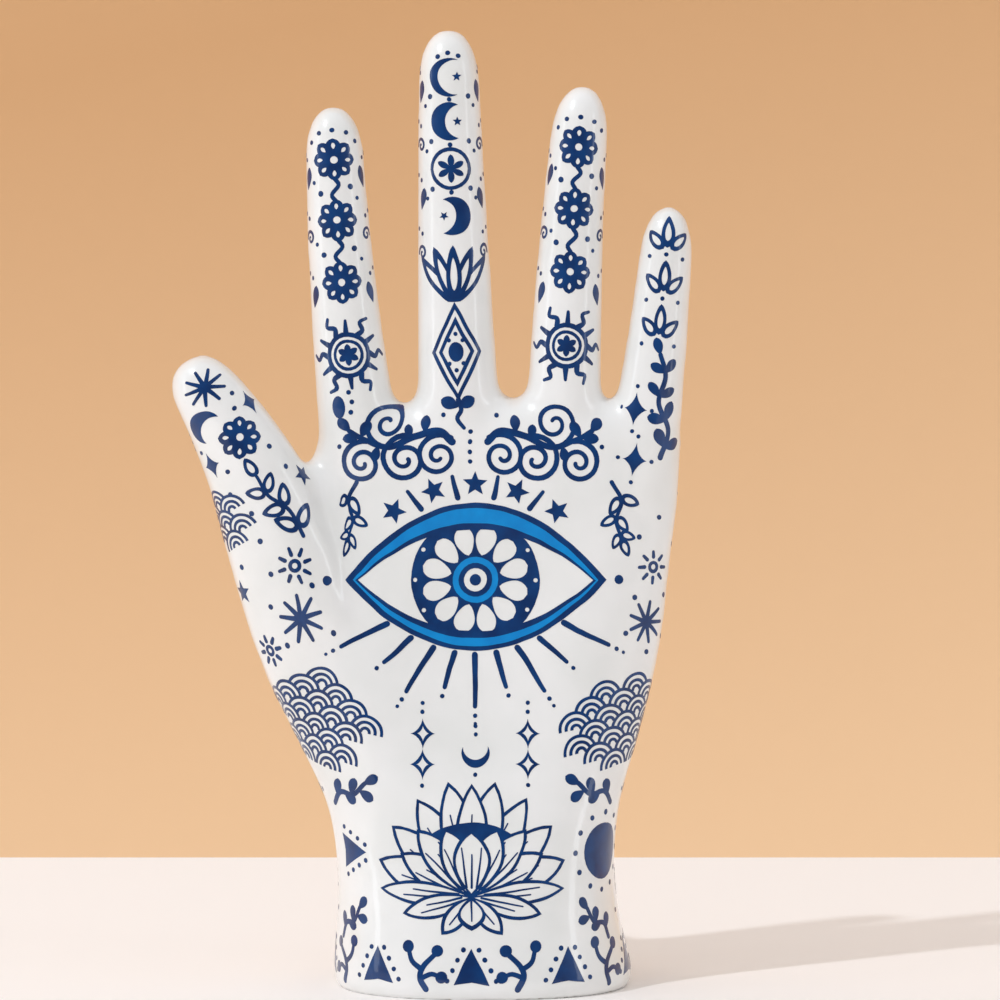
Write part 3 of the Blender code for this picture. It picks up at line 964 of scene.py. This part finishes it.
round_flower = []
for count, inner, length, width in ((20, 13.0, 7.0, 3.6), (14, 6.4, 6.4, 3.4)):
    for i in range(count):
        spoke = 1j * turned(360 * i / count)
        round_flower += placed(open_leaf(length, width), at=inner * spoke, turn=360 * i / count)
        round_flower += dots(0.5, (inner + length) * spoke * turned(180 / count))
    round_flower += [disc(inner + 0.3), disc(inner - 0.7, ink="bare")]
round_flower += placed(flower(5.4, 10))
for i in range(4):
    round_flower += placed([star(2.6)], at=24.6j * turned(90 * i + 45), turn=90 * i + 45)
    round_flower += dots(0.5, 24.8j * turned(90 * i + 34), 24.8j * turned(90 * i + 56))
fire_on("print_round_flower", placed(round_flower, at=ROUND_FLOWER_AT), BACK)
fire_on("print_back_scrolls", scrolls, BACK)
fire_on("print_back_lotus", placed(lotus, at=18.6j) + placed(hanging, at=1.6 - 1.0j), BACK)
half_back = placed(burst(3.6, 9), at=31.0 + 84.0j) + placed(little_sun(2.2), at=33.4 + 72.6j)
half_back += placed([star(2.4)], at=29.6 + 63.0j) + placed(branch, at=17.8 + 36.0j, turn=-80)
half_back += dots(0.5, 37.6 + 79.0j, 28.6 + 76.6j, 37.4 + 66.6j)
half_back += dots(0.5, 25.0 + 58.2j, 31.4 + 57.0j, 26.4 + 90.6j)
fire_on("print_back_stars", half_back + placed(half_back, mirror=True), BACK)
for name, drawing, line, highest in (
    ("thumb", thumb_tip, THUMB_LINE, 60),
    ("index_finger", index, INDEX_LINE, 164),
    ("middle_finger", moons, MIDDLE_LINE, 178),
    ("ring_finger", ring, RING_LINE, 168),
    ("little_finger", tufts, LITTLE_LINE, 145),
):
    back_line = wrap(**line, highest=highest, front=-FRONT)
    fire_on("print_back_of_" + name, placed(drawing, mirror=True), back_line)

# The rim of the foot, wiped clean of glaze so that it doesn't stick to the kiln's shelf: bare, dry and
# a little warmer in colour.
BARE_CLAY = "#DDD3C6"
BARE_CLAY_SHADE = "#D2C6B7"
CLAY_SPECKLE = 0.6 * MM
CLAY_ROUGH = 0.03 * MM
CLAY_ROUGHNESS = 0.85
FACES_DOWN = -0.95

bare = new_material("unglazed_foot_rim")
speckle = blotches(bare.node_tree, CLAY_SPECKLE, 0.0, 1.0)
grain = add_node(bare.node_tree, "ShaderNodeBump", {"Height": speckle, "Distance": CLAY_ROUGH})
clay = add_node(
    bare.node_tree,
    "ShaderNodeMix",
    {"Factor": speckle, "A": linear(BARE_CLAY), "B": linear(BARE_CLAY_SHADE)},
    data_type="RGBA",
)
shader = add_node(
    bare.node_tree,
    "ShaderNodeBsdfPrincipled",
    {
        "Base Color": clay.outputs["Result"],
        "Roughness": CLAY_ROUGHNESS,
        "Normal": grain.outputs["Normal"],
    },
)
add_node(bare.node_tree, "ShaderNodeOutputMaterial", {"Surface": shader.outputs["BSDF"]})
casting.data.materials.append(bare)
for face in casting.data.polygons:
    if face.normal.z < FACES_DOWN and face.center.z < SPONGED_OFF:
        face.material_index = 1

# The table and the wall of the picture, in matt paint: a white table, and a peach wall close behind it
# with painted light on it, darker to the upper left and lighter to the lower right, as if a lamp's light
# pooled low on the right. Both are clear from behind, for views from there. The light that the wall throws
# back is paler than the wall looks, so that it doesn't dye the white glaze.
TABLE_DEPTH = 0.200
STAGE_SIZE = 4.0
# Painted light on the wall: its colour runs from a painted shade at the upper left to a painted pool of
# light at the lower right.
PAINTED_LIGHT_START = Vector((-0.12, 0.19 - STAGE_SIZE / 2, 0.0))
PAINTED_LIGHT_WAY = Vector((0.8, -4.0, 0.0))
TABLE_COLOUR = "#FBF7F4"
WALL_PAINTED_SHADE = "#D6A472"
WALL_PAINTED_LIGHT = "#F7D0A4"
WALL_BOUNCE = "#F4E2D2"
WALL_SUNK = 0.001
PAINT_ROUGHNESS = 0.7

table_paint = new_material("white_table_paint")
wall_paint = new_material("peach_wall_paint")
place = add_node(wall_paint.node_tree, "ShaderNodeTexCoord").outputs["Object"]
way = add_node(
    wall_paint.node_tree,
    "ShaderNodeVectorMath",
    {0: place, 1: PAINTED_LIGHT_START},
    operation="SUBTRACT",
)
# How far along the painted light each point of the wall lies, from the darker upper left to the lighter
# lower right.
painted_light_share = add_node(
    wall_paint.node_tree,
    "ShaderNodeVectorMath",
    {0: way.outputs["Vector"], 1: PAINTED_LIGHT_WAY},
    operation="DOT_PRODUCT",
)
seen = add_node(
    wall_paint.node_tree,
    "ShaderNodeMix",
    {"Factor": painted_light_share.outputs["Value"], "A": linear(WALL_PAINTED_SHADE), "B": linear(WALL_PAINTED_LIGHT)},
    data_type="RGBA",
)
wall_colour = add_node(
    wall_paint.node_tree,
    "ShaderNodeMix",
    {
        "Factor": add_node(wall_paint.node_tree, "ShaderNodeLightPath").outputs["Is Diffuse Ray"],
        "A": seen.outputs["Result"],
        "B": linear(WALL_BOUNCE),
    },
    data_type="RGBA",
)
wall_at = (0, TABLE_DEPTH, STAGE_SIZE / 2 - WALL_SUNK)
for name, location, rotation, paint, colour in (
    ("table", (0, 0, 0), (0, 0, 0), table_paint, linear(TABLE_COLOUR)),
    ("wall", wall_at, (math.pi / 2, 0, 0), wall_paint, wall_colour.outputs["Result"]),
):
    bpy.ops.object.select_all(action="DESELECT")
    bpy.ops.mesh.primitive_plane_add(size=STAGE_SIZE, location=location, rotation=rotation)
    plane = bpy.context.object
    plane.name = name
    shader = add_node(
        paint.node_tree,
        "ShaderNodeBsdfPrincipled",
        {"Base Color": colour, "Roughness": PAINT_ROUGHNESS},
    )
    facing = add_node(
        paint.node_tree,
        "ShaderNodeMixShader",
        {
            "Fac": add_node(paint.node_tree, "ShaderNodeNewGeometry").outputs["Backfacing"],
            1: shader.outputs["BSDF"],
            2: add_node(paint.node_tree, "ShaderNodeBsdfTransparent").outputs["BSDF"],
        },
    )
    add_node(paint.node_tree, "ShaderNodeOutputMaterial", {"Surface": facing.outputs["Shader"]})
    plane.data.materials.append(paint)

# The lights: one small lamp in front, to the upper left, that throws the shadow, and a tall strip light
# on each side, whose streak stands in the glaze. Each has its place, width, height and watts.
AIM = Vector((0.01, 0.0, 0.09))
LAMP_COLOUR = "#F2F8FF"
for name, place, width, height, watts in (
    ("key_lamp", (-1.81, -1.44, 2.72), 0.10, 0.10, 40.0),
    ("left_strip", (-1.10, -0.40, 0.25), 0.12, 0.90, 0.8),
    ("right_strip", (1.20, -0.62, 0.35), 0.16, 0.80, 1.0),
):
    lamp = bpy.data.lights.new(name, "AREA")
    lamp.shape = "RECTANGLE"
    lamp.size = width
    lamp.size_y = height
    lamp.energy = watts
    lamp.color = linear(LAMP_COLOUR)[:3]
    lamp_object = bpy.data.objects.new(name, lamp)
    bpy.context.scene.collection.objects.link(lamp_object)
    lamp_object.location = place
    lamp_object.rotation_euler = (AIM - Vector(place)).to_track_quat("-Z", "Y").to_euler()

# The room round it all gives soft light, brighter from the upper left. What the gloss mirrors straight
# ahead of the palm is darker, like the far end of a room, so that the prints stay deep in colour.
ROOM_COLOUR = "#F4F5F8"
ROOM_LIGHT = 0.87
ROOM_SHADE = 0.52
ROOM_FRONT = 0.12
ROOM_BRIGHT_SIDE = Vector((-0.66, -0.05, 0.75))
world = bpy.data.worlds.new("studio")
bpy.context.scene.world = world
world.use_nodes = True
world.node_tree.nodes.clear()
way = add_node(world.node_tree, "ShaderNodeTexCoord").outputs["Generated"]
levels = []
for side, start, end, low, high in (
    (ROOM_BRIGHT_SIDE, -0.7, 0.7, ROOM_SHADE, ROOM_LIGHT),
    (FRONT, 0.1, 0.9, ROOM_LIGHT, ROOM_FRONT),
):
    facing = add_node(
        world.node_tree,
        "ShaderNodeVectorMath",
        {0: way, 1: side},
        operation="DOT_PRODUCT",
    )
    level = add_node(
        world.node_tree,
        "ShaderNodeMapRange",
        {
            "Value": facing.outputs["Value"],
            "From Min": start,
            "From Max": end,
            "To Min": low,
            "To Max": high,
        },
    )
    levels.append(level.outputs["Result"])
strength = add_node(
    world.node_tree,
    "ShaderNodeMix",
    {
        "Factor": add_node(world.node_tree, "ShaderNodeLightPath").outputs["Is Glossy Ray"],
        "A": levels[0],
        "B": levels[1],
    },
)
room = add_node(
    world.node_tree,
    "ShaderNodeBackground",
    {"Color": linear(ROOM_COLOUR), "Strength": strength.outputs["Result"]},
)
add_node(world.node_tree, "ShaderNodeOutputWorld", {"Surface": room.outputs["Background"]})

# The camera stands where the picture was taken: level with the palm, a little right of the middle.
CAMERA_AT = Vector((0.013, -0.650, 0.100))
CAMERA_AIM = Vector((0.013, 0.0, 0.0912))
CAMERA_LENS = 123.8
camera = bpy.data.cameras.new("camera")
camera.lens = CAMERA_LENS
camera_object = bpy.data.objects.new("camera", camera)
bpy.context.scene.collection.objects.link(camera_object)
camera_object.location = CAMERA_AT
camera_object.rotation_euler = (CAMERA_AIM - CAMERA_AT).to_track_quat("-Z", "Y").to_euler()
bpy.context.scene.camera = camera_object
bpy.context.scene.view_settings.view_transform = "Standard"
